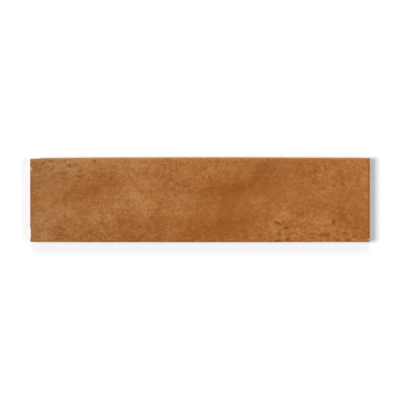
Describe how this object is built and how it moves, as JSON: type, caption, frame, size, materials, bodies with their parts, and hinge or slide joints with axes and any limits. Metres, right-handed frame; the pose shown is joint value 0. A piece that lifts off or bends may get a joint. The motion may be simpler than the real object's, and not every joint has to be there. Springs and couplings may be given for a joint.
{
  "type": "ceramic tile",
  "caption": "Narrow rectangular glazed ceramic tile with cushioned face edges, a tapered foot and a back of ribs between shallow key pockets.",
  "frame": {"origin": "centre of the back, on the plane of the rib crowns that the tile lies on", "axes": "+X along the length, +Y across the width towards the rear long side, +Z out of the glazed face"},
  "size_m": [0.3, 0.075, 0.009],
  "materials": {
    "fired_tile": "satin"
  },
  "bodies": {
    "root": {"tile": "fired_tile"}
  },
  "joints": []
}
